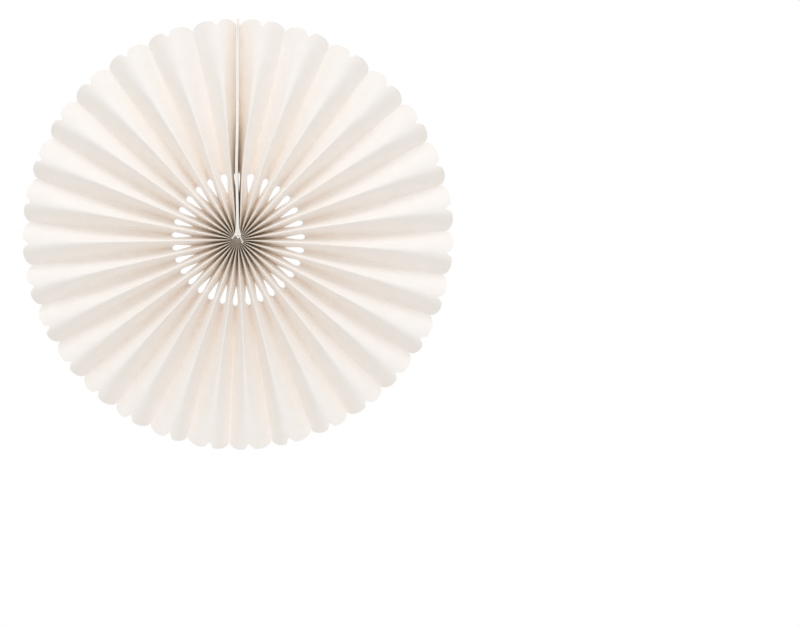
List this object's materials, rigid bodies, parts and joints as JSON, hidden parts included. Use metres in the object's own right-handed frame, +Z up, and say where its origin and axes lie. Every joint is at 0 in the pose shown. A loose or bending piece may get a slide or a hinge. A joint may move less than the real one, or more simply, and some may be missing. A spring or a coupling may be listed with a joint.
{
  "type": "paper fan rosette",
  "caption": "Round wall rosette of accordion-pleated paper with a scalloped rim, a ring of die-cut notches and a glued radial seam.",
  "frame": {"origin": "middle of the hub, on the plane of the wall that the fan hangs against", "axes": "+Z up along the seam towards the top of the rim, the open front of the pleats looks along -Y, +X to the right seen from the front"},
  "size_m": [0.4027, 0.0318, 0.4038],
  "materials": {
    "paper": "matt",
    "card": "matt",
    "adhesive": "satin",
    "thread": "matt"
  },
  "bodies": {
    "root": {"pleated_sheet": "paper", "spine_card_right": "card", "spine_card_left": "card", "adhesive_strip": "adhesive", "tie_thread": "thread"}
  },
  "joints": []
}
